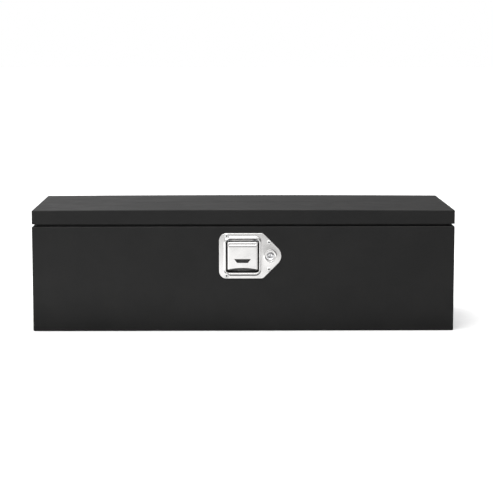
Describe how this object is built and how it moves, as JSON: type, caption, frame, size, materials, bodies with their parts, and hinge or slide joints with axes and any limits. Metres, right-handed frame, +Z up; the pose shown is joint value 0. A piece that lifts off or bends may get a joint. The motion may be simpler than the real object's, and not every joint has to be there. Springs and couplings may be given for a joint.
{
  "type": "truck tool box",
  "caption": "Long low sheet-steel truck box with a flat hinged lid on gas struts and a keyed stainless paddle latch in the front.",
  "frame": {"origin": "under the middle of the whole box, on the surface that it stands on", "axes": "+Z up, +X along the width to the right as seen from the front, and the front with the latch faces -Y"},
  "size_m": [0.99, 0.3624, 0.286],
  "materials": {
    "powder_coat": "satin black powder coat",
    "hinge_leaf": "satin black powder coat",
    "seal_rubber": "black EPDM",
    "polished_stainless": "polished stainless sheet",
    "rivet_steel": "plain bright rivet",
    "zinc_plate": "clear zinc plate",
    "spring_wire": "bright spring wire",
    "lock_chrome": "chromed zinc casting",
    "strut_paint": "gloss black paint",
    "rod_chrome": "hard chromed rod",
    "piston_aluminium": "turned",
    "socket_plastic": "black glass-filled nylon"
  },
  "bodies": {
    "tub": {"tub_wrapper": "powder_coat", "tub_end_left": "powder_coat", "tub_end_right": "powder_coat", "rim_seal": "seal_rubber", "hinge_leaf_tub": "hinge_leaf", "hinge_pin": "zinc_plate", "hinge_rivets_tub": "rivet_steel", "latch_gasket": "seal_rubber", "latch_bezel": "polished_stainless", "latch_rivets": "rivet_steel", "latch_housing": "zinc_plate", "paddle_pin": "zinc_plate", "paddle_springs": "spring_wire", "hook_pin": "zinc_plate", "lock_barrel": "lock_chrome", "lock_nut": "zinc_plate", "strut_bracket_tub_left": "powder_coat", "strut_bracket_tub_right": "powder_coat", "strut_bracket_rivets": "rivet_steel", "strut_stud_tub_left": "zinc_plate", "strut_stud_tub_right": "zinc_plate", "strut_stud_nuts": "zinc_plate"},
    "lid": {"lid_shell": "powder_coat", "lid_stiffener": "powder_coat", "hinge_leaf_lid": "hinge_leaf", "hinge_rivets_lid": "rivet_steel", "striker_bracket": "powder_coat", "striker_loop": "zinc_plate", "striker_nuts": "zinc_plate", "strut_bracket_lid_left": "powder_coat", "strut_bracket_lid_right": "powder_coat"},
    "paddle": {"latch_paddle": "polished_stainless"},
    "hook": {"latch_hook": "zinc_plate", "hook_spring": "spring_wire"},
    "lock": {"lock_plug": "lock_chrome", "lock_cam": "zinc_plate", "cam_screw": "zinc_plate"},
    "left_strut_tube": {"strut_cylinder_left": "strut_paint", "strut_socket_lower_left": "socket_plastic"},
    "left_strut_rod": {"strut_rod_left": "rod_chrome", "strut_piston_left": "piston_aluminium", "strut_socket_upper_left": "socket_plastic", "strut_stud_lid_left": "zinc_plate"},
    "right_strut_tube": {"strut_cylinder_right": "strut_paint", "strut_socket_lower_right": "socket_plastic"},
    "right_strut_rod": {"strut_rod_right": "rod_chrome", "strut_piston_right": "piston_aluminium", "strut_socket_upper_right": "socket_plastic", "strut_stud_lid_right": "zinc_plate"}
  },
  "joints": [
    {"name": "lid_hinge", "type": "hinge", "parent": "tub", "child": "lid", "pos_m": [0, 0.1772, 0.2505], "axis": [-1, 0, 0], "range_deg": [0, 75]},
    {"name": "paddle_pull", "type": "hinge", "parent": "tub", "child": "paddle", "pos_m": [-0.0025, -0.1713, 0.214], "axis": [-1, 0, 0], "range_deg": [0, 24], "stiffness_Nm_per_rad": 0.25, "springref_deg": -17.19},
    {"name": "hook_swing", "type": "hinge", "parent": "tub", "child": "hook", "pos_m": [-0.0025, -0.1328, 0.2025], "axis": [1, 0, 0], "range_deg": [0, 19.25], "stiffness_Nm_per_rad": 0.1, "springref_deg": -11.46},
    {"name": "lock_turn", "type": "hinge", "parent": "tub", "child": "lock", "pos_m": [0.0625, -0.1653, 0.1785], "axis": [0, 1, 0], "range_deg": [0, 90]},
    {"name": "left_strut_swing", "type": "hinge", "parent": "tub", "child": "left_strut_tube", "pos_m": [-0.465, 0.1052, 0.0985], "axis": [-1, 0, 0], "range_deg": [0, 22.9]},
    {"name": "left_strut_slide", "type": "slide", "parent": "left_strut_tube", "child": "left_strut_rod", "axis": [0, -0.1663, 0.9861], "range_m": [0, 0.0909]},
    {"name": "right_strut_swing", "type": "hinge", "parent": "tub", "child": "right_strut_tube", "pos_m": [0.465, 0.1052, 0.0985], "axis": [-1, 0, 0], "range_deg": [0, 22.9]},
    {"name": "right_strut_slide", "type": "slide", "parent": "right_strut_tube", "child": "right_strut_rod", "axis": [0, -0.1663, 0.9861], "range_m": [0, 0.0909]}
  ],
  "couplings": [
    {"joint": "hook_swing", "follows": "paddle_pull", "ratio": 0.8},
    {"joint": "left_strut_swing", "follows": "lid_hinge", "ratio": 0.30505},
    {"joint": "left_strut_slide", "follows": "lid_hinge", "m_per_rad": 0.069387},
    {"joint": "right_strut_swing", "follows": "lid_hinge", "ratio": 0.30505},
    {"joint": "right_strut_slide", "follows": "lid_hinge", "m_per_rad": 0.069387}
  ]
}
